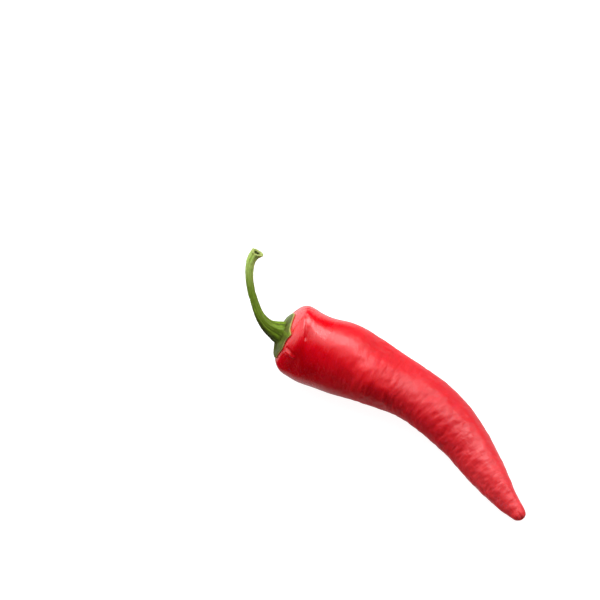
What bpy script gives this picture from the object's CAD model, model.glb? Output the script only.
"""The looks of a fresh red chilli pepper, lying on its side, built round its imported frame."""

import logging
import math
from collections.abc import Sequence
from dataclasses import dataclass, replace
from enum import Enum
from functools import cached_property

import bmesh
import bpy
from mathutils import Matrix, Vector, noise


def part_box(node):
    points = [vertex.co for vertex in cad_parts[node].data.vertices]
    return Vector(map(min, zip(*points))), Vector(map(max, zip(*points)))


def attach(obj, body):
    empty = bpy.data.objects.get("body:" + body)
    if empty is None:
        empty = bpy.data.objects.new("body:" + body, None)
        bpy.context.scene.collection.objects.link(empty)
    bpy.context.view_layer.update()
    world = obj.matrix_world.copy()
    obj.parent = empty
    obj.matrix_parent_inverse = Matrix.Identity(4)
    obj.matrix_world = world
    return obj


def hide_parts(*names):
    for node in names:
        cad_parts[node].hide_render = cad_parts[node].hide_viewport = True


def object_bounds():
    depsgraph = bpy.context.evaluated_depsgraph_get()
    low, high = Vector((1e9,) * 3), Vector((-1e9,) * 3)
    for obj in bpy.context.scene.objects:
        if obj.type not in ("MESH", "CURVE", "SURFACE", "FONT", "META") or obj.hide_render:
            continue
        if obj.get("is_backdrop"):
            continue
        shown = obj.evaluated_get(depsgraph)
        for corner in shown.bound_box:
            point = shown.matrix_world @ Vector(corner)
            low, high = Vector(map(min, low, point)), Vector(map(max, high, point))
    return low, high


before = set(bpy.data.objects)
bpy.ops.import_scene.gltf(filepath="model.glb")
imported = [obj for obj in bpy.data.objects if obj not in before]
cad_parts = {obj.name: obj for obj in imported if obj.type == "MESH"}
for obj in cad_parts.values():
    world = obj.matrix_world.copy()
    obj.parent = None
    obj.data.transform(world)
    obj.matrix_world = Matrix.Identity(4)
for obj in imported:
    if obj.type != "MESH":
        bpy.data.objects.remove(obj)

LOG = logging.getLogger("chilli")
MM = 0.001
UP = Vector((0.0, 0.0, 1.0))
TURN = 2 * math.pi
ROOT_BODY = "root"

Row = Sequence[float]
Colour = tuple[float, float, float]
Place = tuple[float, float]
Socket = bpy.types.NodeSocket


class Node(Enum):
    """The two solids of the frame that the fine pieces stand for."""

    POD = "pod"
    STEM = "stem_and_calyx"


class Slot(Enum):
    """The record's material slots."""

    RED_SKIN = "red_skin"
    GREEN_STEM = "green_stem"


class Layer(Enum):
    """The attributes that the pieces carry for their materials."""

    UNROLLED = "unrolled"
    ALONG = "along"
    RELIEF = "relief"
    EDGE = "edge"
    SIDE = "side"


class Operation(Enum):
    """The ways that a node sheet combines two values."""

    ADD = "ADD"
    MULTIPLY = "MULTIPLY"


def bell(distance: float, reach: float) -> float:
    """Give a falloff that is 1 at the middle and near 0 at one and a half reaches from it."""
    steepness = 2.0
    return math.exp(-steepness * (distance / reach) ** 2)


def turn_between(a: float, b: float) -> float:
    """Give the shortest turn from angle b to angle a, in radians."""
    return math.atan2(math.sin(a - b), math.cos(a - b))


def clamp(value: float, low: float, high: float) -> float:
    """Give the value, kept between two limits."""
    return min(max(value, low), high)


def clamp_index(index: int, count: int) -> int:
    """Give an index kept inside a list of that many."""
    return min(max(index, 0), count - 1)


def lerp(a: float, b: float, share: float) -> float:
    """Give the value that lies the given share of the way from a to b."""
    return a + (b - a) * share


def smoothstep(value: float, low: float, high: float) -> float:
    """Give a smooth rise from 0 at low to 1 at high."""
    t = clamp((value - low) / (high - low), 0.0, 1.0)
    return t * t * (3 - 2 * t)


def smooth_between(points: Sequence[Vector], t: float) -> Vector:
    """Give a point on the smooth curve through four points, between the middle two.

    Args:
        points: Four points in order.
        t: The share of the way from the second to the third.

    Returns:
        The point on the curve.
    """
    a, b, c, d = points
    return 0.5 * (
        2 * b
        + (c - a) * t
        + (2 * a - 5 * b + 4 * c - d) * t**2
        + (3 * b - a - 3 * c + d) * t**3
    )


@dataclass(frozen=True)
class Stations:
    """A smooth curve through the rows of a table: x, y, height and radius, in millimetres.

    Args:
        rows: The table, from one end of the piece to the other.
        square_ends: Whether the radius closes square to the axis at both ends.
    """

    rows: tuple[Row, ...]
    square_ends: bool = False

    @cached_property
    def marks(self) -> list[float]:
        """The length of the curve at each row.

        Returns:
            The lengths, in millimetres.
        """
        marks = [0.0]
        for before, after in zip(self.rows, self.rows[1:]):
            marks.append(marks[-1] + math.dist(before, after))
        return marks

    @cached_property
    def slopes(self) -> list[list[float]]:
        """The change of each column with length, at each row.

        Returns:
            A row of four slopes for each row of the table.
        """
        last = len(self.rows) - 1
        slopes = []
        for i in range(last + 1):
            before, after = max(i - 1, 0), min(i + 1, last)
            span = self.marks[after] - self.marks[before]
            slopes.append([(b - a) / span for a, b in zip(self.rows[before], self.rows[after])])
        if self.square_ends:
            slopes[0] = [0.0, 0.0, 0.0, 1.0]
            slopes[last] = [0.0, 0.0, 0.0, -1.0]
        return slopes

    @property
    def length(self) -> float:
        """The whole length of the curve."""
        return self.marks[-1]

    def at(self, length: float) -> list[float]:
        """Read the table at a length along the curve.

        Args:
            length: Millimetres from the first row.

        Returns:
            The four columns there.
        """
        wanted = clamp(length, 0.0, self.length)
        i = 0
        while i < len(self.rows) - 2 and wanted > self.marks[i + 1]:
            i += 1
        span = self.marks[i + 1] - self.marks[i]
        t = (wanted - self.marks[i]) / span
        weights = (
            (1 + 2 * t) * (1 - t) ** 2,
            t * t * (3 - 2 * t),
            span * t * (1 - t) ** 2,
            span * t * t * (t - 1),
        )
        columns = zip(self.rows[i], self.rows[i + 1], self.slopes[i], self.slopes[i + 1])
        return [sum(w * value for w, value in zip(weights, column)) for column in columns]

    def centre(self, length: float) -> Vector:
        """Give the axis point at a length."""
        return Vector(self.at(length)[:3])

    def radius(self, length: float) -> float:
        """Give the radius at a length."""
        return self.at(length)[3]

    def direction(self, length: float) -> Vector:
        """Give the way that the axis runs at a length."""
        reach = 0.5
        return (self.centre(length + reach) - self.centre(length - reach)).normalized()


@dataclass(frozen=True)
class Swelling:
    """A local swelling or dent of the pod's skin, in millimetres and degrees.

    Args:
        at: Length along the pod of its middle.
        reach: How far it reaches along the pod.
        angle: Angle round the pod of its middle.
        spread: How far it reaches round the pod.
        height: How far it stands out, or in if it is negative.
    """

    at: float
    reach: float
    angle: float
    spread: float
    height: float

    def relief(self, length: float, angle: float) -> float:
        """Give its height at a place on the skin.

        Args:
            length: Length along the pod, in millimetres.
            angle: Angle round it, in radians.

        Returns:
            The height in millimetres.
        """
        along = bell(length - self.at, self.reach)
        turn = turn_between(angle, math.radians(self.angle))
        return self.height * along * bell(turn, math.radians(self.spread))


@dataclass(frozen=True)
class Ridge:
    """A long ridge of the pod's skin, in millimetres and degrees.

    Args:
        rise: Lengths where it starts and where it is full.
        fall: Lengths where it starts to fade and where it ends.
        angles: Angle round the pod of its middle, at its start and at its end.
        spread: How far it reaches round the pod.
        height: How far it stands out, or in if it is negative.
        slant: How far its ends shift along for each degree round from its middle.
    """

    rise: Place
    fall: Place
    angles: Place
    spread: float
    height: float
    slant: float = 0.0

    def relief(self, length: float, angle: float) -> float:
        """Give its height at a place on the skin.

        Args:
            length: Length along the pod, in millimetres.
            angle: Angle round it, in radians.

        Returns:
            The height in millimetres.
        """
        way = clamp((length - self.rise[0]) / (self.fall[1] - self.rise[0]), 0.0, 1.0)
        turn = turn_between(angle, math.radians(lerp(*self.angles, way)))
        at = length - self.slant * math.degrees(turn)
        share = smoothstep(at, *self.rise) * (1 - smoothstep(at, *self.fall))
        return self.height * share * bell(turn, math.radians(self.spread))


@dataclass(frozen=True)
class Lobes:
    """Waves that run round a section, in millimetres and degrees.

    Args:
        count: How many there are round the section.
        phase: Where the first crest is turned from.
        height: How far a crest stands out.
        twist: How far the crests turn with each millimetre along.
    """

    count: int
    phase: float
    height: float = 1.0
    twist: float = 0.0

    def relief(self, angle: float, length: float = 0.0) -> float:
        """Give their height at an angle, and at a length where they twist."""
        phase = math.radians(self.phase + self.twist * length)
        return self.height * math.cos(self.count * angle + phase)


@dataclass(frozen=True)
class RingFrame:
    """The way that a ring of skin faces, in millimetres.

    Args:
        centre: Its middle.
        facing: The way that it faces, along the piece.
        side: The way to its side, one long.
        top: The way to its top, one long.
        radius: Its plain radius.
    """

    centre: Vector
    facing: Vector
    side: Vector
    top: Vector
    radius: float

    def point(self, angle: float, reach: float, height: float = 0.0) -> Vector:
        """Give a point of the ring.

        Args:
            angle: Angle round the ring, from its side to its top.
            reach: Distance from the middle.
            height: Distance ahead of the ring.

        Returns:
            The point, in millimetres.
        """
        out = self.side * math.cos(angle) + self.top * math.sin(angle)
        return self.centre + out * reach + self.facing * height


@dataclass(frozen=True)
class PodForm:
    """The form of the pod's skin, by length along it and angle round it, in millimetres.

    Args:
        line: Its axis and radius.
        head_radius: The radius that the body's lobes are measured against.
        head_direction: The way that the calyx end faces.
        head_turn: Lengths where the rings start to turn from it to the axis and where they end.
        head_margin: Length up to which the rings take the axis's way at one place.
        tip_margin: The same, counted from the tip.
        swellings: The swellings and dents that the solid has too.
        rolls: The low rolls of the shoulder.
        ridges: The ridges and hollows that run along it.
        oval: The waves of the body's oval section, as a share of its radius.
        oval_growth: How much larger the oval section is, as a share of its radius.
        oval_rise: Lengths where the oval starts and where it is full.
        oval_fall: Lengths where it starts to fade and where it ends.
        shoulder_lobes: The shoulder's lobes.
        shoulder_at: Length of their middle.
        shoulder_reach: How far they reach along the pod.
        tip_lobes: The tip's lobes.
        tip_lobes_from_tip: Distance of their middle from the tip.
        tip_lobes_reach: How far they reach along the pod.
        body_lobes: The faint lobes of the whole body.
        pole_fade_radius: The radius under which every swelling fades towards a pole.
    """

    line: Stations = Stations(
        rows=(
            (1.6, -4.6, 17.6, 0),
            (1.8, -4.6, 17.5, 5.2),
            (2.7, -4.1, 17.2, 9.6),
            (4.6, -2.7, 16.3, 12.3),
            (7.8, -1.0, 15.0, 13.5),
            (11.5, 0.3, 14.1, 13.9),
            (17.5, 2.6, 13.6, 13.9),
            (25.0, 5.0, 13.5, 13.9),
            (33.0, 7.5, 12.4, 12.8),
            (41.5, 9.9, 11.0, 11.4),
            (50.0, 11.7, 10.0, 10.4),
            (60.0, 12.1, 9.6, 10.0),
            (70.0, 10.8, 9.1, 9.5),
            (80.0, 8.3, 8.2, 8.6),
            (90.0, 4.9, 7.1, 7.4),
            (98.0, 2.2, 5.9, 5.9),
            (105.0, 0.2, 4.6, 4.2),
            (110.0, -0.7, 3.8, 3.1),
            (112.2, -1.3, 3.6, 2.4),
            (113.3, -1.6, 3.5, 1.2),
            (113.1, -1.6, 3.5, 0),
        ),
        square_ends=True,
    )
    head_radius: float = 14.0
    head_direction: Row = (0.77, 0.5, -0.4)
    head_turn: Place = (4.0, 34.0)
    head_margin: float = 24.0
    tip_margin: float = 5.0
    swellings: tuple[Swelling, ...] = (
        Swelling(at=15, reach=6, angle=35, spread=55, height=1.0),
        Swelling(at=26, reach=7, angle=35, spread=60, height=-0.6),
        Swelling(at=18, reach=3.5, angle=125, spread=75, height=-0.35),
        Swelling(at=58, reach=16, angle=80, spread=60, height=0.35),
        Swelling(at=84, reach=14, angle=170, spread=60, height=-0.3),
    )
    rolls: tuple[Swelling, ...] = (
        Swelling(at=16, reach=7, angle=87, spread=32, height=1.3),
        Swelling(at=13, reach=5, angle=35, spread=36, height=0.3),
    )
    ridges: tuple[Ridge, ...] = (
        Ridge(
            rise=(9, 16.2),
            fall=(16.2, 19.8),
            angles=(124, 124),
            spread=50,
            height=1.2,
            slant=0.075,
        ),
        Ridge(rise=(38, 54), fall=(76, 100), angles=(150, 154), spread=50, height=1.2),
        Ridge(rise=(41, 48), fall=(56, 72), angles=(142, 148), spread=30, height=1.0),
        Ridge(rise=(38, 48), fall=(56, 74), angles=(76, 82), spread=40, height=-1.2),
    )
    oval: Lobes = Lobes(count=2, phase=80, height=0.08)
    oval_growth: float = 0.065
    oval_rise: Place = (33.0, 50.0)
    oval_fall: Place = (76.0, 100.0)
    shoulder_lobes: Lobes = Lobes(count=5, height=0.35, phase=20)
    shoulder_at: float = 13.0
    shoulder_reach: float = 6.0
    tip_lobes: Lobes = Lobes(count=2, height=0.4, phase=50)
    tip_lobes_from_tip: float = 1.5
    tip_lobes_reach: float = 3.5
    body_lobes: Lobes = Lobes(count=3, height=0.22, phase=40, twist=1.1)
    pole_fade_radius: float = 3.0

    @property
    def length(self) -> float:
        """The length of the skin's axis."""
        return self.line.length

    @property
    def plain(self) -> "PodForm":
        """The form without its rolls, ridges and oval section, as the solid has it."""
        return replace(self, rolls=(), ridges=(), oval=Lobes(2, 0.0, 0.0), oval_growth=0.0)

    def ring(self, length: float) -> RingFrame:
        """Give the ring of the skin at a length.

        Args:
            length: Length along the pod.

        Returns:
            The ring, before anything swells it.
        """
        inside = clamp(length, self.head_margin, self.length - self.tip_margin)
        share = smoothstep(length, *self.head_turn)
        head = Vector(self.head_direction).normalized()
        facing = head.lerp(self.line.direction(inside), share).normalized()
        side = UP.cross(facing).normalized()
        x, y, height, radius = self.line.at(length)
        return RingFrame(Vector((x, y, height)), facing, side, facing.cross(side), radius)

    def relief(self, length: float, angle: float, radius: float) -> float:
        """Give how far the skin swells past the plain radius.

        Args:
            length: Length along the pod.
            angle: Angle round it.
            radius: The plain radius there.

        Returns:
            The swelling in millimetres.
        """
        relief = sum(swelling.relief(length, angle) for swelling in self.swellings)
        relief += sum(roll.relief(length, angle) for roll in self.rolls)
        relief += sum(ridge.relief(length, angle) for ridge in self.ridges)
        oval = smoothstep(length, *self.oval_rise) * (1 - smoothstep(length, *self.oval_fall))
        relief += oval * radius * (self.oval.relief(angle) + self.oval_growth)
        shoulder = bell(length - self.shoulder_at, self.shoulder_reach)
        relief += shoulder * self.shoulder_lobes.relief(angle)
        from_tip = self.length - self.tip_lobes_from_tip - length
        relief += bell(from_tip, self.tip_lobes_reach) * self.tip_lobes.relief(angle)
        relief += radius / self.head_radius * self.body_lobes.relief(angle, length)
        return relief * min(1.0, radius / self.pole_fade_radius)

    def on_ring(self, ring: RingFrame, length: float, angle: float) -> Vector:
        """Give the skin's point on a ring."""
        return ring.point(angle, ring.radius + self.relief(length, angle, ring.radius))

    def point(self, length: float, angle: float) -> Vector:
        """Give the skin's point at a place."""
        return self.on_ring(self.ring(length), length, angle)

    def over(self, length: float, angle: float, height: float) -> Vector:
        """Give a point over the skin, along the way that the skin faces.

        Args:
            length: Length along the pod.
            angle: Angle round it.
            height: Distance over the skin.

        Returns:
            The point in millimetres.
        """
        step = 0.05
        along = self.point(length + step, angle) - self.point(length - step, angle)
        around = self.point(length, angle + step) - self.point(length, angle - step)
        return self.point(length, angle) + around.cross(along).normalized() * height


@dataclass(frozen=True)
class Crease:
    """A short fold in the skin, in millimetres and degrees.

    Args:
        start: Length and angle of one end.
        end: Length and angle of the other end.
        width: How wide it is.
        height: How far it stands out, or in if it is negative.
    """

    start: Place
    end: Place
    width: float
    height: float

    def relief(self, length: float, angle: float, radius: float) -> float:
        """Give its height at a place on the skin.

        Args:
            length: Length along the pod, in millimetres.
            angle: Angle round it, in radians.
            radius: The pod's radius there, in millimetres.

        Returns:
            The height in millimetres.
        """
        around = math.degrees(turn_between(angle, math.radians(self.start[1])))
        scale = radius * math.radians(1.0)
        ahead = self.end[0] - self.start[0]
        across = (self.end[1] - self.start[1]) * scale
        along = length - self.start[0]
        aside = around * scale
        share = clamp((along * ahead + aside * across) / (ahead**2 + across**2), 0.0, 1.0)
        away = math.hypot(along - share * ahead, aside - share * across)
        return self.height * bell(away, self.width)


@dataclass(frozen=True)
class CreaseRow:
    """A row of short folds across the skin, in millimetres and degrees.

    Args:
        first: Length and angle of the first fold's middle.
        last: Length and angle of the last fold's middle.
        count: How many there are.
        reach: How far each one reaches round the skin.
        width: How wide each one is.
        height: How far they stand out, or in if it is negative.
        wander_step: How far apart in the noise the shifts of two folds are read.
    """

    first: Place
    last: Place
    count: int
    reach: float
    width: float
    height: float
    wander_step: float = 1.7

    def relief(self, length: float, angle: float) -> float:
        """Give the height of the nearest fold at a place.

        Args:
            length: Length along the pod, in millimetres.
            angle: Angle round it, in radians.

        Returns:
            The height in millimetres.
        """
        gap = (self.last[0] - self.first[0]) / (self.count - 1)
        step = round(clamp((length - self.first[0]) / gap, 0, self.count - 1))
        shift = noise.noise(Vector((self.wander_step * step, *self.first)))
        along = length - self.first[0] - gap * (step + shift / 2)
        middle = lerp(self.first[1], self.last[1], step / (self.count - 1)) + self.reach * shift
        turn = turn_between(angle, math.radians(middle))
        return self.height * bell(along, self.width) * bell(turn, math.radians(self.reach))


@dataclass(frozen=True)
class SkinNoise:
    """Smooth noise on unrolled skin, in millimetres.

    Args:
        across: Its size round the piece.
        along: Its size along it.
        seed: A number that tells one noise from another.
    """

    across: float
    along: float
    seed: float

    def at(self, place: Vector) -> float:
        """Give the noise at an unrolled place, from about -1 to 1."""
        x, y, z = place.x / self.across, place.y / self.across + self.seed, place.z / self.along
        return noise.noise(Vector((x, y, z)))


@dataclass(frozen=True)
class PodGrain:
    """The fine relief of the pod's skin: cross wrinkles, dimples and folds, in millimetres.

    Args:
        smooth_head: Lengths where the skin starts to wrinkle and where it is fully wrinkled.
        smooth_tip: Distances from the tip where the relief starts and where it is full.
        head_share: The share of the wrinkles that the smooth head keeps.
        crown: The angle round the pod, in degrees, where the wrinkles are full.
        crown_spread: How far they reach round the pod from there, in degrees.
        side_share: The share of them that the far side keeps.
        folds: The noise that the fine folds follow, where it passes zero.
        fold_narrowness: The value of that noise where a fold starts.
        fold_depth: How deep the folds are.
        fold_patches: The noise that gathers the folds in patches.
        fold_patch_limits: Values of that noise where the folds start and where they are full.
        ripples: The cross ripples.
        ripple_height: How high they are.
        dimples: The dimples.
        dimple_height: How high they are.
        dents: The broad soft dents.
        dent_height: How high they are.
        dent_head_share: The share of the dents that the smooth head keeps.
        scar_radius: The pod's radius where the scar on the blunt tip starts.
        scar_turn: The scar's angle, in radians.
        scar_width: How wide it is.
        scar_depth: How deep it is.
        creases: The single folds by the calyx and at the tip.
        rows: The rows of short folds on the body.
    """

    smooth_head: Place = (28.0, 50.0)
    smooth_tip: Place = (2.0, 9.0)
    head_share: float = 0.07
    crown: float = 128.0
    crown_spread: float = 105.0
    side_share: float = 0.28
    folds: SkinNoise = SkinNoise(across=2.6, along=1.1, seed=3.0)
    fold_narrowness: float = 0.3
    fold_depth: float = 0.08
    fold_patches: SkinNoise = SkinNoise(across=6.0, along=6.0, seed=51.0)
    fold_patch_limits: Place = (-0.15, 0.25)
    ripples: SkinNoise = SkinNoise(across=2.2, along=1.05, seed=11.0)
    ripple_height: float = 0.13
    dimples: SkinNoise = SkinNoise(across=2.9, along=2.3, seed=21.0)
    dimple_height: float = 0.30
    dents: SkinNoise = SkinNoise(across=9.0, along=9.0, seed=37.0)
    dent_height: float = 0.18
    dent_head_share: float = 0.3
    scar_radius: float = 3.0
    scar_turn: float = 0.5
    scar_width: float = 0.5
    scar_depth: float = 0.1
    creases: tuple[Crease, ...] = (
        Crease(start=(14.6, 86), end=(17.6, 118), width=1.4, height=-0.3),
        Crease(start=(12.5, 67), end=(18.0, 66), width=0.6, height=-0.12),
        Crease(start=(10.3, 150), end=(15.3, 151.5), width=0.7, height=-0.35),
        Crease(start=(11.3, 157), end=(15.8, 156), width=0.5, height=0.38),
        Crease(start=(10.6, 164), end=(12.4, 163), width=0.5, height=0.3),
        Crease(start=(126.8, 108), end=(129.8, 120), width=0.55, height=-0.24),
    )
    rows: tuple[CreaseRow, ...] = (
        CreaseRow((46.0, 150), (62.0, 158), count=9, reach=15, width=0.5, height=-0.16),
        CreaseRow((66.0, 120), (84.0, 128), count=8, reach=12, width=0.5, height=-0.12),
        CreaseRow((88.0, 146), (118.0, 150), count=14, reach=12, width=0.7, height=-0.16),
    )

    def height(self, place: Vector, angle: float, radius: float, length: float) -> float:
        """Give the fine relief at a place.

        Args:
            place: The unrolled place.
            angle: Angle round the pod.
            radius: Radius there.
            length: The pod's whole length.

        Returns:
            The relief in millimetres.
        """
        along = place.z
        body = smoothstep(along, *self.smooth_head)
        near_tip = smoothstep(length - along, *self.smooth_tip)
        turn = turn_between(angle, math.radians(self.crown))
        upper = lerp(self.side_share, 1.0, bell(turn, math.radians(self.crown_spread)))
        share = lerp(self.head_share, 1.0, body) * near_tip * upper
        fold = max(0.0, 1 - abs(self.folds.at(place)) / self.fold_narrowness) ** 2
        patch = smoothstep(self.fold_patches.at(place), *self.fold_patch_limits)
        ripple = self.ripple_height * self.ripples.at(place)
        dimple = self.dimple_height * self.dimples.at(place)
        dent_share = near_tip * lerp(self.dent_head_share, 1.0, body)
        relief = share * (ripple + dimple)
        relief -= share * patch * self.fold_depth * fold
        relief += dent_share * self.dent_height * self.dents.at(place)
        relief += sum(crease.relief(along, angle, radius) for crease in self.creases)
        relief += sum(row.relief(along, angle) for row in self.rows)
        if radius < self.scar_radius:
            aside = radius * math.sin(angle - self.scar_turn)
            relief -= self.scar_depth * bell(aside, self.scar_width)
        return relief


class RingedBall:
    """A closed ball of rings between two poles, whose points are moved to a piece's skin."""

    def __init__(self, sides: int, rings: int, layers: Sequence[Layer]) -> None:
        """Make the ball.

        Args:
            sides: Points round each ring.
            rings: Rings between the poles.
            layers: The attributes that it carries besides the unrolled place.
        """
        self.sides = sides
        self.rings = rings
        self.mesh = bmesh.new()
        self.unrolled = self.mesh.verts.layers.float_vector.new(Layer.UNROLLED.value)
        self.layers = {layer: self.mesh.verts.layers.float.new(layer.value) for layer in layers}
        bmesh.ops.create_uvsphere(
            self.mesh, u_segments=sides, v_segments=rings + 1, radius=1.0
        )

    def places(self) -> list[tuple[bmesh.types.BMVert, int, int]]:
        """List the ball's points with their places on it.

        Returns:
            Each point with its ring, counted from the upper pole as 0, and its step round.
        """
        found = []
        for vert in self.mesh.verts:
            polar = math.acos(clamp(vert.co.z, -1.0, 1.0))
            ring = round(polar / math.pi * (self.rings + 1))
            step = round(math.atan2(vert.co.y, vert.co.x) / TURN * self.sides) % self.sides
            found.append((vert, ring, step))
        return found

    def raise_along_normals(self, heights: dict[bmesh.types.BMVert, float]) -> None:
        """Move each point out along its normal.

        Args:
            heights: How far each point moves.
        """
        self.mesh.normal_update()
        for vert, height in heights.items():
            vert.co += vert.normal * height

    def finish(self, name: str, offset: Vector, floor: float) -> bpy.types.Object:
        """Turn the ball into an object with its place in its mesh.

        Args:
            name: The piece's name.
            offset: From the table's origin to the frame's, in metres.
            floor: The level that nothing reaches below, in metres.

        Returns:
            The new object, at the origin.
        """
        for vert in self.mesh.verts:
            vert.co = vert.co * MM + offset
            vert.co.z = max(vert.co.z, floor)
        for face in self.mesh.faces:
            face.smooth = True
        data = bpy.data.meshes.new(name)
        self.mesh.to_mesh(data)
        self.mesh.free()
        piece = bpy.data.objects.new(name, data)
        bpy.context.scene.collection.objects.link(piece)
        return piece


@dataclass
class Pod:
    """The red pod.

    Args:
        form: Its skin.
        grain: The fine relief on the skin.
        sides: Points round it.
        rings: Rings along it.
        ease: How far the rings crowd towards the poles, from 0 to 1.
    """

    form: PodForm
    grain: PodGrain
    sides: int = 288
    rings: int = 338
    ease: float = 0.35

    def length_of(self, ring: int) -> float:
        """Give the length along the pod of a ring.

        Args:
            ring: The ring, counted from the tip.

        Returns:
            The length in millimetres.
        """
        share = 1 - ring / (self.rings + 1)
        eased = (1 - math.cos(math.pi * share)) / 2
        return self.form.length * lerp(share, eased, self.ease)

    def build(self, offset: Vector, floor: float) -> bpy.types.Object:
        """Make the pod's mesh.

        Args:
            offset: From the table's origin to the frame's, in metres.
            floor: The level that it rests on, in metres.

        Returns:
            The pod's object.
        """
        ball = RingedBall(self.sides, self.rings, [Layer.ALONG, Layer.RELIEF])
        lengths = [self.length_of(ring) for ring in range(self.rings + 2)]
        frames = [self.form.ring(length) for length in lengths]
        heights = {}
        for vert, ring, step in ball.places():
            angle = TURN * step / self.sides
            length, shape = lengths[ring], frames[ring]
            place = Vector((math.cos(angle) * shape.radius, math.sin(angle) * shape.radius, length))
            height = self.grain.height(place, angle, shape.radius, self.form.length)
            heights[vert] = height
            vert.co = self.form.on_ring(shape, length, angle)
            vert[ball.unrolled] = place * MM
            vert[ball.layers[Layer.ALONG]] = length / self.form.length
            vert[ball.layers[Layer.RELIEF]] = height
        ball.raise_along_normals(heights)
        return ball.finish("pod_skin", offset, floor)


@dataclass(frozen=True)
class Tooth:
    """A short tooth of the calyx's rim.

    Args:
        angle: Its place round the pod, in degrees.
        spread: How wide it is, in degrees.
        height: How far it reaches, in millimetres.
    """

    angle: float
    spread: float
    height: float

    def reach(self, angle: float) -> float:
        """Give how far it pushes the rim out at an angle."""
        turn = turn_between(angle, math.radians(self.angle))
        return self.height * bell(turn, math.radians(self.spread))


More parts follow.
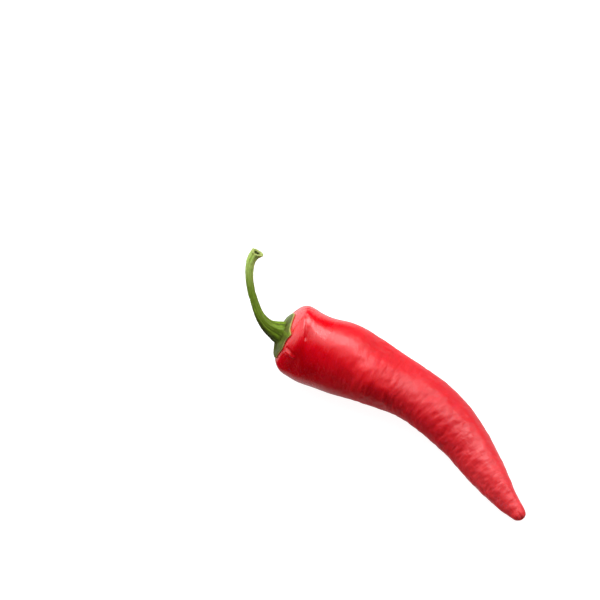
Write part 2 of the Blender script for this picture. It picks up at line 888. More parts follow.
@dataclass(frozen=True)
class StemForm:
    """The form of the stem and calyx, in millimetres.

    One skin runs from under the calyx, over its rim and up the stem, to the pit in the cut end.

    Args:
        line_from_pole: The stem's axis and radius, from the pod's pole.
        gap: How far the calyx's underside lies over the pod.
        rim: Length along the pod of the calyx's rim, between its teeth.
        teeth: The rim's teeth.
        tooth_wander: How far the rim wanders in and out besides.
        tooth_wander_rate: How fast it wanders round the rim.
        tooth_wander_seed: A number that tells this wandering from another.
        under_shares: Shares of the way to the rim that the underside passes.
        cap_profile: Share of the way to the rim and height over it, for each ring of the cap.
        ribs: The stem's ribs, 1 at their crests.
        rib_at_calyx: Height of the ribs by the calyx, as a share of the stem's radius.
        rib_at_cut: Their height higher up, in the same way.
        rib_on_cap: Their height on the cap.
        rib_fade: How many times faster than the stem's length they change to that.
        stem_rings: Stretches along the stem.
        cut_profile: Share of the way to the cut's edge and height over it, for each of its rings.
        cut_lobes: The waves of the cut end's outline, as a share of its radius.
        cut_reach: How far they reach down the stem.
        cut_rise_reach: How far the cut's slant reaches down the stem.
        cut_saddle: The cut's saddle, at its edge.
        cut_slant: The cut's slant, at its edge.
        cut_drop: How far the cut's middle lies behind the stem's end.
    """

    line_from_pole: tuple[Row, ...] = (
        (-0.6, -0.6, 1.7, 4.3),
        (-3.0, -2.1, 3.2, 3.1),
        (-5.2, -2.8, 4.4, 2.4),
        (-8.8, -2.6, 6.6, 1.8),
        (-12.4, -1.1, 9.0, 1.55),
        (-17.2, 1.6, 12.3, 1.4),
        (-20.7, 4.7, 15.4, 1.45),
        (-22.6, 7.7, 18.0, 1.65),
        (-22.8, 9.9, 19.7, 1.9),
        (-22.2, 11.2, 20.7, 2.15),
    )
    gap: float = 0.05
    rim: float = 8.1
    teeth: tuple[Tooth, ...] = (
        Tooth(angle=55, spread=26, height=1.3),
        Tooth(angle=121, spread=13, height=2.0),
        Tooth(angle=165, spread=22, height=0.7),
        Tooth(angle=208, spread=18, height=0.5),
        Tooth(angle=262, spread=20, height=1.2),
        Tooth(angle=318, spread=18, height=1.4),
    )
    tooth_wander: float = 0.45
    tooth_wander_rate: float = 2.1
    tooth_wander_seed: float = 7.3
    under_shares: tuple[float, ...] = (0.3, 0.65, 0.9)
    cap_profile: tuple[Place, ...] = ((1.0, 0.4), (0.94, 0.65), (0.8, 0.75), (0.62, 1.0))
    ribs: Lobes = Lobes(count=6, phase=60)
    rib_at_calyx: float = 0.06
    rib_at_cut: float = 0.04
    rib_on_cap: float = 0.45
    rib_fade: float = 3.0
    stem_rings: int = 26
    cut_profile: tuple[Place, ...] = ((0.93, 0.3), (0.7, 0.35), (0.42, -0.2), (0.16, -0.9))
    cut_lobes: Lobes = Lobes(count=2, phase=-80, height=0.08)
    cut_reach: float = 2.6
    cut_rise_reach: float = 1.3
    cut_saddle: Lobes = Lobes(count=2, phase=-80, height=0.15)
    cut_slant: Lobes = Lobes(count=1, phase=0, height=1.0)
    cut_drop: float = 0.3

    def line(self, pole: Vector) -> Stations:
        """Give the stem's axis and radius.

        Args:
            pole: The pod's pole, which the stem starts from.

        Returns:
            The axis and radius, from the pole on.
        """
        return Stations(
            tuple((x + pole.x, y + pole.y, z + pole.z, r) for x, y, z, r in self.line_from_pole)
        )

    def frames(self, line: Stations, head: RingFrame) -> list[RingFrame]:
        """Give the stem's rings, which turn with its curve and never round it.

        Args:
            line: The stem's axis.
            head: The pod's first ring, which the stem starts from.

        Returns:
            The rings from the calyx to the cut end.
        """
        facing, side, top = -head.facing, head.side, head.top
        frames = []
        for i in range(self.stem_rings + 1):
            length = line.length * i / self.stem_rings
            ahead = line.direction(length)
            turn = facing.rotation_difference(ahead)
            side, top, facing = turn @ side, turn @ top, ahead
            frames.append(RingFrame(line.centre(length), facing, side, top, line.radius(length)))
        return frames

    def rim_at(self, angle: float) -> float:
        """Give how far out the toothed rim lies.

        Args:
            angle: Angle round the calyx.

        Returns:
            The length along the pod that the rim reaches.
        """
        around = Vector((math.cos(angle), math.sin(angle), self.tooth_wander_seed))
        teeth = sum(tooth.reach(angle) for tooth in self.teeth)
        wander = noise.noise(around * self.tooth_wander_rate)
        return self.rim + teeth + self.tooth_wander * wander

    def column(
        self,
        pod: PodForm,
        line: Stations,
        frames: list[RingFrame],
        angle: float,
    ) -> list[Vector]:
        """Give the points that the skin runs through at an angle, from under the calyx to the pit.

        Args:
            pod: The pod that the calyx hugs.
            line: The stem's axis.
            frames: The stem's rings.
            angle: Angle round the stem.

        Returns:
            The points, in millimetres.
        """
        rim = self.rim_at(angle)
        points = [pod.over(rim * share, angle, self.gap) for share in self.under_shares]
        points.append(pod.over(rim, angle, self.gap))
        for share, thickness in self.cap_profile:
            rib = self.rib_on_cap * (1 - share) * self.ribs.relief(angle)
            points.append(pod.over(rim * share, angle, self.gap + thickness + rib))
        for i, ring in enumerate(frames):
            share = i / self.stem_rings
            rib = lerp(self.rib_at_calyx, self.rib_at_cut, min(1.0, self.rib_fade * share))
            flare = bell(line.length * (1 - share), self.cut_reach) * self.cut_lobes.relief(angle)
            reach = ring.radius * (1 + rib * self.ribs.relief(angle) + flare)
            near_cut = bell(line.length * (1 - share), self.cut_rise_reach)
            points.append(ring.point(angle, reach, near_cut * self.cut_rise(angle)))
        for share, up in self.cut_profile:
            points.append(frames[-1].point(angle, reach * share, up + self.cut_rise(angle, share)))
        return points

    def cut_rise(self, angle: float, share: float = 1.0) -> float:
        """Give how far the cut lies ahead of the last ring, at a share of the way out to its edge."""
        return share * (self.cut_saddle.relief(angle) + self.cut_slant.relief(angle)) - self.cut_drop


@dataclass(frozen=True)
class StemGrain:
    """The fine relief of the stem and calyx, in millimetres.

    Args:
        ridge_count: How closely the fine ridges follow each other round the stem.
        ridge_length: How long a ridge is.
        ridge_height: How high the ridges are.
        bump_size: How far apart the bumps are.
        bump_height: How high they are.
    """

    ridge_count: float = 4.5
    ridge_length: float = 14.0
    ridge_height: float = 0.14
    bump_size: float = 1.4
    bump_height: float = 0.10

    def height(self, place: Vector, angle: float) -> float:
        """Give the fine relief at a place.

        Args:
            place: The unrolled place.
            angle: Angle round the stem.

        Returns:
            The relief in millimetres.
        """
        around = Vector((math.cos(angle), math.sin(angle), 0.0)) * self.ridge_count
        around.z = place.z / self.ridge_length
        bump = noise.noise(place / self.bump_size)
        return self.ridge_height * noise.noise(around) + self.bump_height * bump


@dataclass
class Stem:
    """The green stem with its calyx.

    Args:
        form: Its skin.
        grain: The fine relief on the skin.
        sides: Points round it.
        steps: Rings for each stretch between two of the form's points.
        side_angle: The side, in degrees round it, that the side attribute is 1 at.
        rim_middle: Points from the cap's first one to the middle of its tan rim.
        rim_band: Points from that middle where the rim starts to fade and where it ends.
        cut_band: Points from the cut's edge where the cut's mark starts and where it is full.
        cut_mark: What the cut adds to the edge attribute.
        pit_band: Points from the cut's edge where the pit's mark starts and where it is full.
        pit_mark: What the pit adds to it besides.
    """

    form: StemForm
    grain: StemGrain
    sides: int = 160
    steps: int = 12
    side_angle: float = 212.0
    rim_middle: float = 0.5
    rim_band: Place = (0.6, 1.6)
    cut_band: Place = (-0.6, 0.4)
    cut_mark: float = 1.5
    pit_band: Place = (2.0, 3.2)
    pit_mark: float = 0.5

    def edge_mark(self, from_cap: float, from_cut: float) -> float:
        """Give the edge attribute: 1 on the calyx's rim, 1.5 on the cut and 2 in its pit.

        Args:
            from_cap: Points from the cap's first one.
            from_cut: Points from the cut's edge.

        Returns:
            The attribute's value.
        """
        rim = 1 - smoothstep(abs(from_cap - self.rim_middle), *self.rim_band)
        cut = self.cut_mark * smoothstep(from_cut, *self.cut_band)
        return rim + cut + self.pit_mark * smoothstep(from_cut, *self.pit_band)

    def columns(self, pod: PodForm, line: Stations, angles: Sequence[float]) -> list[list[Vector]]:
        """Give the points that the skin runs through from pole to pole.

        Args:
            pod: The pod that it sits on.
            line: The stem's axis.
            angles: Angles round the stem.

        Returns:
            A column of points for each angle.
        """
        head = pod.ring(0.0)
        frames = self.form.frames(line, head)
        under = head.centre - head.facing * self.form.gap
        pit_height = self.form.cut_profile[-1][1] - self.form.cut_drop
        pit = frames[-1].point(0.0, 0.0, pit_height)
        return [[under, *self.form.column(pod, line, frames, angle), pit] for angle in angles]

    def build(self, pod: PodForm, offset: Vector, floor: float) -> bpy.types.Object:
        """Make the mesh of the stem and calyx.

        Args:
            pod: The pod that it sits on.
            offset: From the table's origin to the frame's, in metres.
            floor: The level that nothing reaches below, in metres.

        Returns:
            The stem's object.
        """
        line = self.form.line(pod.ring(0.0).centre)
        angles = [TURN * step / self.sides for step in range(self.sides)]
        columns = self.columns(pod, line, angles)
        stretches = len(columns[0]) - 1
        layers = [Layer.ALONG, Layer.RELIEF, Layer.EDGE, Layer.SIDE]
        ball = RingedBall(self.sides, stretches * self.steps - 1, layers)
        cap_start = len(self.form.under_shares) + 1
        stem_start = cap_start + len(self.form.cap_profile)
        cut_start = stem_start + self.form.stem_rings + 1
        heights = {}
        for vert, ring, step in ball.places():
            i = min(ring // self.steps, stretches - 1)
            part = (ring - i * self.steps) / self.steps
            at = i + part
            column, angle = columns[step], angles[step]
            near = [column[clamp_index(i + k, len(column))] for k in (-1, 0, 1, 2)]
            vert.co = smooth_between(near, part)
            on_stem = clamp((at - stem_start) / self.form.stem_rings, 0.0, 1.0)
            radius = line.radius(on_stem * line.length)
            length = min(at, stem_start) - cap_start + on_stem * line.length
            place = Vector((math.cos(angle) * radius, math.sin(angle) * radius, length))
            heights[vert] = self.grain.height(place, angle) * smoothstep(at, cap_start, stem_start)
            vert[ball.unrolled] = place * MM
            vert[ball.layers[Layer.ALONG]] = on_stem
            vert[ball.layers[Layer.RELIEF]] = self.form.ribs.relief(angle)
            vert[ball.layers[Layer.SIDE]] = math.cos(angle - math.radians(self.side_angle))
            vert[ball.layers[Layer.EDGE]] = self.edge_mark(at - cap_start, at - cut_start)
        ball.raise_along_normals(heights)
        return ball.finish("stem_and_calyx_skin", offset, floor)


@dataclass(frozen=True)
class Fade:
    """A smooth change from one value to another.

    Args:
        start: The reading where it starts.
        end: The reading where it ends.
        low: The value up to the start.
        high: The value from the end on.
    """

    start: float
    end: float
    low: float = 0.0
    high: float = 1.0


@dataclass(frozen=True)
class Tint:
    """A colour that comes in over others as a reading changes.

    Args:
        colour: The colour.
        fade: How its share follows the reading.
        within: How its share follows the length along the piece besides.
    """

    colour: Colour
    fade: Fade
    within: Fade | None = None


@dataclass(frozen=True)
class Speckle:
    """A noise pattern on a piece's unrolled skin.

    Args:
        scale: How fine it is, in specks to the metre.
        stretch: How many times finer it is along each axis.
        detail: How many finer layers it has.
    """

    scale: float
    stretch: Row = (1.0, 1.0, 1.0)
    detail: float = 3.0


class Sheet:
    """A material's node sheet, with short ways to add and join nodes."""

    def __init__(self, name: str) -> None:
        """Start a new material with an empty sheet.

        Args:
            name: The material's name.
        """
        self.material = bpy.data.materials.new(name)
        self.material.use_nodes = True
        self.tree = self.material.node_tree
        self.tree.nodes.clear()

    def join(self, socket: Socket, value: object) -> None:
        """Link an input socket to an output, or set its value.

        Args:
            socket: The input socket.
            value: The output socket or the value.
        """
        if isinstance(value, Socket):
            self.tree.links.new(value, socket)
        else:
            socket.default_value = value

    def add(
        self,
        kind: str,
        inputs: dict[str | int, object] | None = None,
        **settings: object,
    ) -> bpy.types.Node:
        """Add a node.

        Args:
            kind: The node's type name, without its ShaderNode prefix.
            inputs: Values or output sockets for its input sockets, by name or number.
            settings: Values for the node's own properties.

        Returns:
            The new node.
        """
        node = self.tree.nodes.new(f"ShaderNode{kind}")
        for key, value in settings.items():
            setattr(node, key, value)
        for key, value in (inputs or {}).items():
            self.join(node.inputs[key], value)
        return node

    def attribute(self, layer: Layer, output: str = "Fac") -> Socket:
        """Read one of the piece's attributes."""
        node = self.add("Attribute", attribute_type="GEOMETRY", attribute_name=layer.value)
        return node.outputs[output]

    def spread(self, value: Socket, fade: Fade) -> Socket:
        """Map a reading by a fade.

        Args:
            value: The reading.
            fade: Where the fade starts and ends, and its values there.

        Returns:
            The value that the fade has at the reading.
        """
        ends = {"From Min": fade.start, "From Max": fade.end}
        values = {"To Min": fade.low, "To Max": fade.high}
        node = self.add(
            "MapRange", {"Value": value, **ends, **values}, interpolation_type="SMOOTHSTEP"
        )
        return node.outputs["Result"]

    def mix(self, share: Socket, under: object, over: object) -> Socket:
        """Mix two colours.

        Args:
            share: The share of the second one.
            under: The first, as a colour or a socket.
            over: The second, as a colour or a socket.

        Returns:
            The mixed colour.
        """
        share_input, under_input, over_input, colour_output = 0, 6, 7, 2
        node = self.add("Mix", {share_input: share}, data_type="RGBA")
        for index, colour in ((under_input, under), (over_input, over)):
            solid = colour if isinstance(colour, Socket) else (*colour, 1.0)
            self.join(node.inputs[index], solid)
        return node.outputs[colour_output]

    def combine(self, operation: Operation, a: Socket, b: Socket) -> Socket:
        """Combine two values and give the result."""
        return self.add("Math", {0: a, 1: b}, operation=operation.value).outputs[0]

    def finish(self, shader: bpy.types.Node) -> bpy.types.Material:
        """Join a shader to the material's output.

        Args:
            shader: The shader's node.

        Returns:
            The material.
        """
        output = self.add("OutputMaterial")
        self.tree.links.new(shader.outputs[0], output.inputs["Surface"])
        return self.material


class SkinSheet(Sheet):
    """A sheet for grown skin, which reads the piece's unrolled place, length and relief."""

    def __init__(self, name: str) -> None:
        """Start a new material that reads the piece's attributes.

        Args:
            name: The material's name.
        """
        super().__init__(name)
        self.place = self.attribute(Layer.UNROLLED, "Vector")
        self.along = self.attribute(Layer.ALONG)
        self.relief = self.attribute(Layer.RELIEF)

    def noise(self, speckle: Speckle) -> Socket:
        """Add a noise pattern.

        Args:
            speckle: The pattern.

        Returns:
            Its value, from 0 to 1.
        """
        mapping = self.add("Mapping", {"Vector": self.place, "Scale": tuple(speckle.stretch)})
        place = mapping.outputs["Vector"]
        inputs = {"Vector": place, "Scale": speckle.scale, "Detail": speckle.detail}
        return self.add("TexNoise", inputs).outputs["Fac"]

    def paint(self, base: Colour, coats: Sequence[tuple[Socket, Tint]]) -> Socket:
        """Lay tints over a base colour.

        Args:
            base: The base colour.
            coats: The reading that each tint follows, with the tint, in order.

        Returns:
            The colour with every tint on it.
        """
        colour = base
        for reading, tint in coats:
            share = self.spread(reading, tint.fade)
            if tint.within is not None:
                near = self.spread(self.along, tint.within)
                share = self.combine(Operation.MULTIPLY, share, near)
            colour = self.mix(share, colour, tint.colour)
        return colour

    def skin(self, height: Socket, distance: float, **inputs: object) -> bpy.types.Material:
        """Finish the material as a skin with a fine bump.

        Args:
            height: The bump's pattern.
            distance: The bump's height, in metres.
            inputs: The shader's other inputs, with low lines for the spaces in their names.

        Returns:
            The material.
        """
        bump = self.add("Bump", {"Height": height, "Distance": distance, "Strength": 1.0})
        named = {key.replace("_", " "): value for key, value in inputs.items()}
        shader = self.add("BsdfPrincipled", {**named, "Normal": bump.outputs["Normal"]})
        return self.finish(shader)


@dataclass(frozen=True)
class WaxyRedSkin:
    """The pod's finish: deep red, waxy and glossy, with faint cross wrinkles and mottling.

    Args:
        deep: The red of the head.
        bright: The brighter red of its mottles.
        fleck: The faint pale flecks.
        valley: The darker red in the creases.
        body: The duller red of the body.
        tip: The paler red of the tail.
        scar: The brown of the scar on the tip.
        mottles: The pattern of the mottles.
        flecks: The pattern of the flecks.
        ripples: The pattern of the bump.
        patches: The pattern of the gloss.
        roughness: The wax's roughness along the pod.
        tail_roughness: What the tail's wax adds to it.
        patch_roughness: What the pattern of the gloss adds to it.
        specular: How strongly the skin mirrors.
        coat: How thick the clear wax is along the pod.
        coat_roughness: The clear wax's roughness.
        glow: How much light passes through the skin.
        glow_radius: How far each colour of it travels, as a share of the scale.
        glow_scale: That scale, in metres.
        bump_distance: The bump's height, in metres.
    """

    deep: Colour = (0.71, 0.0008, 0.008)
    bright: Tint = Tint((0.86, 0.002, 0.013), Fade(0.3, 0.7))
    fleck: Tint = Tint((0.88, 0.010, 0.014), Fade(0.62, 0.78, high=0.3))
    valley: Tint = Tint((0.45, 0.0005, 0.003), Fade(-0.22, -0.5, high=0.3))
    body: Tint = Tint((0.66, 0.006, 0.016), Fade(0.36, 0.5, high=0.7))
    tip: Tint = Tint((0.86, 0.050, 0.062), Fade(0.62, 0.95, high=0.9))
    scar: Tint = Tint((0.60, 0.09, 0.03), Fade(0.992, 1.0, high=0.5))
    mottles: Speckle = Speckle(90.0, stretch=(1.0, 1.0, 0.6))
    flecks: Speckle = Speckle(900.0, stretch=(1.0, 1.0, 1.6), detail=1.0)
    ripples: Speckle = Speckle(700.0, stretch=(0.35, 0.35, 1.6), detail=2.0)
    patches: Speckle = Speckle(260.0)
    roughness: Fade = Fade(0.18, 0.36, low=0.24, high=0.52)
    tail_roughness: Fade = Fade(0.58, 0.78, high=-0.12)
    patch_roughness: Fade = Fade(0.3, 0.7, low=-0.06, high=0.06)
    specular: float = 0.5
    coat: Fade = Fade(0.2, 0.4, low=0.25, high=0.03)
    coat_roughness: float = 0.10
    glow: float = 0.5
    glow_radius: Row = (1.0, 0.03, 0.02)
    glow_scale: float = 0.004
    bump_distance: float = 0.00014

    def material(self) -> bpy.types.Material:
        """Make the material.

        Returns:
            The material.
        """
        sheet = SkinSheet("waxy_red_skin")
        coats = (
            (sheet.noise(self.mottles), self.bright),
            (sheet.noise(self.flecks), self.fleck),
            (sheet.relief, self.valley),
            (sheet.along, self.body),
            (sheet.along, self.tip),
            (sheet.along, self.scar),
        )
        rough = sheet.spread(sheet.along, self.roughness)
        tail = sheet.spread(sheet.along, self.tail_roughness)
        patches = sheet.spread(sheet.noise(self.patches), self.patch_roughness)
        rough = sheet.combine(Operation.ADD, rough, tail)
        return sheet.skin(
            sheet.noise(self.ripples),
            self.bump_distance,
            Base_Color=sheet.paint(self.deep, coats),
            Roughness=sheet.combine(Operation.ADD, rough, patches),
            Specular_IOR_Level=self.specular,
            Coat_Weight=sheet.spread(sheet.along, self.coat),
            Coat_Roughness=self.coat_roughness,
            Subsurface_Weight=self.glow,
            Subsurface_Radius=tuple(self.glow_radius),
            Subsurface_Scale=self.glow_scale,
        )


@dataclass(frozen=True)
class GreenStalk:
    """The stem's finish: satin green, streaked lengthwise, with a tan rim and a pale cut end.

    Args:
        calyx: The green of the calyx.
        middle: The green of the stem's middle.
        top: The paler green of its upper end.
        dip: The dark green between the ribs, by the calyx.
        under: The dark green of the shaded side, by the calyx.
        tan: The tan of the other side, higher up.
        streak: The pale streaks.
        furrow: The dark streaks.
        smudge: The dull smudges on the calyx.
        rim: The tan of the calyx's rim.
        cut: The pale green of the cut end.
        pit: The dark green in its middle.
        streaks: The pattern of the streaks and of the bump.
        smudges: The pattern of the smudges.
        patches: The pattern of the gloss.
        roughness: The skin's roughness, by that pattern.
        specular: How strongly the skin mirrors.
        glow: How much light passes through the skin.
        glow_radius: How far each colour of it travels, as a share of the scale.
        glow_scale: That scale, in metres.
        bump_distance: The bump's height, in metres.
    """

    calyx: Colour = (0.185, 0.30, 0.022)
    middle: Tint = Tint((0.12, 0.185, 0.010), Fade(0.0, 0.3))
    top: Tint = Tint((0.46, 0.62, 0.15), Fade(0.56, 0.96))
    dip: Tint = Tint((0.035, 0.045, 0.003), Fade(-0.2, -0.9, high=0.75), within=Fade(0.35, 0.0))
    under: Tint = Tint((0.036, 0.038, 0.002), Fade(0.3, 0.98, high=0.85), within=Fade(0.5, 0.2))
    tan: Tint = Tint((0.50, 0.40, 0.13), Fade(-0.8, -0.98, high=0.8), within=Fade(0.15, 0.35))
    streak: Tint = Tint((0.32, 0.56, 0.03), Fade(0.5, 0.75, high=0.5))
    furrow: Tint = Tint((0.035, 0.045, 0.003), Fade(0.48, 0.28, high=0.4))
    smudge: Tint = Tint((0.10, 0.115, 0.018), Fade(0.4, 0.58, 0.15, 0.9), within=Fade(0.08, 0.0))
    rim: Tint = Tint((0.52, 0.38, 0.14), Fade(0.4, 1.0, high=0.75))
    cut: Tint = Tint((0.40, 0.48, 0.14), Fade(1.1, 1.5))
    pit: Tint = Tint((0.05, 0.065, 0.004), Fade(1.7, 2.0))
    streaks: Speckle = Speckle(900.0, stretch=(1.6, 1.6, 0.12), detail=4.0)
    smudges: Speckle = Speckle(450.0, stretch=(1.0, 1.0, 0.5))
    patches: Speckle = Speckle(500.0)
    roughness: Fade = Fade(0.3, 0.7, low=0.40, high=0.56)
    specular: float = 0.15
    glow: float = 0.15
    glow_radius: Row = (0.5, 1.0, 0.2)
    glow_scale: float = 0.0008
    bump_distance: float = 0.00005

    def material(self) -> bpy.types.Material:
        """Make the material.

        Returns:
            The material.
        """
        sheet = SkinSheet("green_stalk")
        edge = sheet.attribute(Layer.EDGE)
        side = sheet.attribute(Layer.SIDE)
        streaks = sheet.noise(self.streaks)
        coats = (
            (sheet.along, self.middle),
            (sheet.along, self.top),
            (sheet.relief, self.dip),
            (side, self.under),
            (side, self.tan),
            (streaks, self.streak),
            (streaks, self.furrow),
            (sheet.noise(self.smudges), self.smudge),
            (edge, self.rim),
            (edge, self.cut),
            (edge, self.pit),
        )
        return sheet.skin(
            streaks,
            self.bump_distance,
            Base_Color=sheet.paint(self.calyx, coats),
            Roughness=sheet.spread(sheet.noise(self.patches), self.roughness),
            Specular_IOR_Level=self.specular,
            Subsurface_Weight=self.glow,
            Subsurface_Radius=tuple(self.glow_radius),
            Subsurface_Scale=self.glow_scale,
        )


@dataclass(frozen=True)
class Glow:
    """A soft patch of light in the surroundings, in degrees.

    Args:
        azimuth: Its side, from straight away from the camera towards the right.
        elevation: Its height above the horizon.
        inner: The angle from its middle where it starts to fade.
        outer: The angle from its middle where it has faded.
        strength: Its radiance.
    """

    azimuth: float
    elevation: float
    inner: float
    outer: float
    strength: float


@dataclass(frozen=True)
class Softbox:
    """A square softbox that faces the object, in metres and degrees.

    Args:
        name: Its name.
        azimuth: Its side, from straight away from the camera towards the right.
        elevation: Its height above the horizon.
        size: Its width.
        radiance: How bright its face is.
        distance: From the object's origin to it.
        mirrored: Whether the gloss shows it.
    """

    name: str
    azimuth: float
    elevation: float
    size: float
    radiance: float
    distance: float = 0.6
    mirrored: bool = True


@dataclass
class Studio:
    """The plain floor, the soft lights and the camera, in metres and degrees.

    Args:
        azimuth: The camera's side of the object.
        elevation: The camera's height above the horizon.
        distance: From the floor point at the picture's middle to the camera.
        target: That floor point, from the object's origin.
        lens: Focal length in millimetres.
        sensor: Width of the camera's sensor in millimetres.
        clip: Nearest and farthest distance that the camera shows.
        floor_radius: Radius of the floor.
        floor_sides: Sides of its edge.
        floor_colour: Its colour.
        floor_roughness: Its roughness.
        floor_glow: How brightly it shines of itself.
        softboxes: The softboxes round the object.
        glows: The soft patches of light in the surroundings.
    """

    azimuth: float = 41.7
    elevation: float = 50.0
    distance: float = 0.66
    target: Row = (-0.0600, 0.0194, 0.0)
    lens: float = 100.0
    sensor: float = 36.0
    clip: Place = (0.01, 20.0)
    floor_radius: float = 6.0
    floor_sides: int = 96
    floor_colour: Colour = (0.3, 0.3, 0.3)
    floor_roughness: float = 0.9
    floor_glow: float = 0.95
    softboxes: tuple[Softbox, ...] = (
        Softbox("key", azimuth=12, elevation=71, size=0.36, radiance=4.2),
        Softbox("left fill", azimuth=-115, elevation=-20, size=0.7, radiance=1.05, mirrored=False),
        Softbox("right fill", azimuth=110, elevation=-15, size=0.7, radiance=0.85, mirrored=False),
    )
    glows: tuple[Glow, ...] = (
        Glow(azimuth=-18, elevation=77, inner=10, outer=43, strength=2.0),
        Glow(azimuth=-53, elevation=32, inner=12, outer=50, strength=2.0),
        Glow(azimuth=80, elevation=46, inner=8, outer=30, strength=2.6),
        Glow(azimuth=30, elevation=-23, inner=12, outer=41, strength=0.95),
        Glow(azimuth=-32, elevation=-12, inner=14, outer=42, strength=1.5),
        Glow(azimuth=0, elevation=-90, inner=12, outer=42, strength=0.6),
    )

    @property
    def away(self) -> Vector:
        """The level direction from the camera to the object."""
        a = math.radians(self.azimuth)
        return Vector((-math.sin(a), math.cos(a), 0.0))

    def camera(self) -> None:
        """Place the camera at the photograph's viewing angle."""
        data = bpy.data.cameras.new("camera")
        data.lens = self.lens
        data.sensor_width = self.sensor
        data.clip_start, data.clip_end = self.clip
        camera = bpy.data.objects.new("camera", data)
        bpy.context.scene.collection.objects.link(camera)
        e = math.radians(self.elevation)
        back = -self.away * math.cos(e) + UP * math.sin(e)
        camera.location = Vector(self.target) + back * self.distance
        camera.rotation_euler = back.to_track_quat("Z", "Y").to_euler()
        bpy.context.scene.camera = camera

    def floor(self, level: float) -> None:
        """Lay the pale floor.

        Args:
            level: Its height.
        """
        shape = bmesh.new()
        bmesh.ops.create_circle(
            shape, cap_ends=True, segments=self.floor_sides, radius=self.floor_radius
        )
        bmesh.ops.translate(shape, verts=shape.verts, vec=(0.0, 0.0, level))
        data = bpy.data.meshes.new("floor")
        shape.to_mesh(data)
        shape.free()
        floor = bpy.data.objects.new("floor", data)
        bpy.context.scene.collection.objects.link(floor)
        sheet = Sheet("pale_floor")
        shader = sheet.add(
            "BsdfPrincipled",
            {
                "Base Color": (*self.floor_colour, 1.0),
                "Roughness": self.floor_roughness,
                "Specular IOR Level": 0.0,
                "Emission Color": (1.0, 1.0, 1.0, 1.0),
                "Emission Strength": self.floor_glow,
            },
        )
        data.materials.append(sheet.finish(shader))
        floor.visible_glossy = False
        floor.visible_diffuse = False
        floor.visible_shadow = False
        floor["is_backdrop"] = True

    def direction(self, azimuth: float, elevation: float) -> Vector:
        """Give the way to a place in the surroundings.

        Args:
            azimuth: Its side, from straight away from the camera towards the right.
            elevation: Its height above the horizon.

        Returns:
            The way there, one long.
        """
        a = math.radians(self.azimuth - azimuth)
        e = math.radians(elevation)
        return Vector((-math.sin(a) * math.cos(e), math.cos(a) * math.cos(e), math.sin(e)))

    def hang(self, softbox: Softbox) -> None:
        """Hang a softbox round the object, facing it.

        Args:
            softbox: The softbox.
        """
        data = bpy.data.lights.new(softbox.name, "AREA")
        data.shape = "SQUARE"
        data.size = softbox.size
        data.energy = softbox.radiance * math.pi * softbox.size**2
        light = bpy.data.objects.new(softbox.name, data)
        bpy.context.scene.collection.objects.link(light)
        way = self.direction(softbox.azimuth, softbox.elevation)
        light.location = way * softbox.distance
        light.rotation_euler = way.to_track_quat("Z", "Y").to_euler()
        light.visible_camera = False
        light.visible_glossy = softbox.mirrored

    def surroundings(self) -> None:
        """Set the soft patches of light round the object, with white behind for the camera."""
        world = bpy.data.worlds.new("studio")
        bpy.context.scene.world = world
        world.use_nodes = True
        nodes, links = world.node_tree.nodes, world.node_tree.links
        nodes.clear()
        way = nodes.new("ShaderNodeTexCoord").outputs["Generated"]
        total = nodes.new("ShaderNodeLightPath").outputs["Is Camera Ray"]
        for glow in self.glows:
            facing = nodes.new("ShaderNodeVectorMath")
            facing.operation = "DOT_PRODUCT"
            facing.inputs[1].default_value = self.direction(glow.azimuth, glow.elevation)
            share = nodes.new("ShaderNodeMapRange")
            share.interpolation_type = "SMOOTHSTEP"
            share.inputs["From Min"].default_value = math.cos(math.radians(glow.outer))
            share.inputs["From Max"].default_value = math.cos(math.radians(glow.inner))
            share.inputs["To Max"].default_value = glow.strength
            added = nodes.new("ShaderNodeMath")
            links.new(way, facing.inputs[0])
            links.new(facing.outputs["Value"], share.inputs["Value"])
            links.new(share.outputs["Result"], added.inputs[0])
            links.new(total, added.inputs[1])
            total = added.outputs[0]
        background = nodes.new("ShaderNodeBackground")
        output = nodes.new("ShaderNodeOutputWorld")
        links.new(total, background.inputs["Strength"])
        links.new(background.outputs["Background"], output.inputs["Surface"])

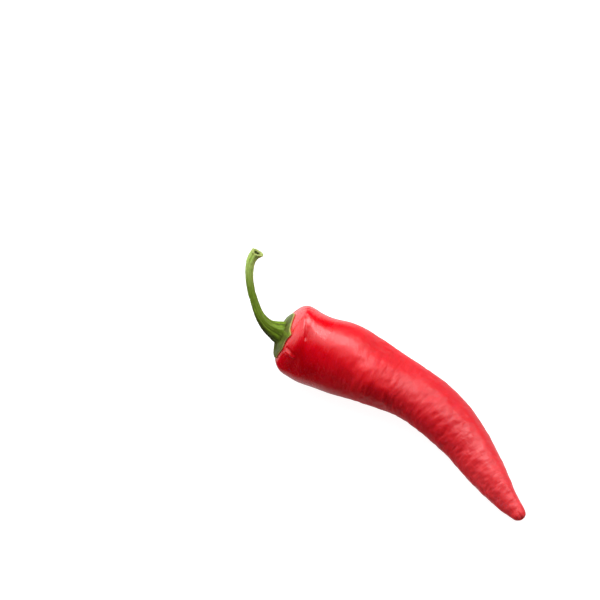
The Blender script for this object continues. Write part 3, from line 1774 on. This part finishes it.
    def build(self, level: float) -> None:
        """Build the whole studio round the object.

        Args:
            level: The height that the object rests at.
        """
        self.camera()
        self.floor(level)
        for softbox in self.softboxes:
            self.hang(softbox)
        self.surroundings()
        bpy.context.scene.view_settings.view_transform = "Standard"


def box_middle(points: Sequence[Vector]) -> Vector:
    """Find the middle of the underside of the box round some points.

    Args:
        points: The points.

    Returns:
        The middle, at the height of the lowest point.
    """
    x, y, z = zip(*points)
    return Vector(((min(x) + max(x)) / 2, (min(y) + max(y)) / 2, min(z)))


def offset_to_frame(form: PodForm) -> Vector:
    """Work out how far the pod's table lies from its solid in the frame.

    Args:
        form: The pod's form, in the table's own place.

    Returns:
        The offset in metres.
    """
    sides, rings = 48, 120
    plain = form.plain
    points = []
    for ring in range(rings + 1):
        length = plain.length * ring / rings
        shape = plain.ring(length)
        points.extend(plain.on_ring(shape, length, TURN * step / sides) for step in range(sides))
    for point in points:
        point.z = max(point.z, 0.0)
    low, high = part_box(Node.POD.value)
    return box_middle([low, high]) - box_middle(points) * MM


def dress(
    piece: bpy.types.Object,
    material: bpy.types.Material,
    node: Node,
    slot: Slot,
) -> None:
    """Give a piece its finish and tie it to the frame.

    Args:
        piece: The finished piece.
        material: Its material.
        node: The solid that it stands for.
        slot: The record's slot for its finish.
    """
    piece.data.materials.append(material)
    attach(piece, ROOT_BODY)
    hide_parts(node.value)
    LOG.info("%s: %d faces, stands for %s", piece.name, len(piece.data.polygons), node.value)


def main() -> None:
    """Build the pod, the stem and the studio in order."""
    logging.basicConfig(level=logging.INFO, format="%(name)s: %(message)s")
    frame_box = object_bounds()
    floor = frame_box[0].z
    form = PodForm()
    offset = offset_to_frame(form)
    LOG.info("offset to the frame %s", tuple(round(value, 5) for value in offset))
    Studio().build(floor)

    pod = Pod(form, PodGrain()).build(offset, floor)
    dress(pod, WaxyRedSkin().material(), Node.POD, Slot.RED_SKIN)
    stem = Stem(StemForm(), StemGrain()).build(form, offset, floor)
    dress(stem, GreenStalk().material(), Node.STEM, Slot.GREEN_STEM)


if __name__ == "__main__":
    main()
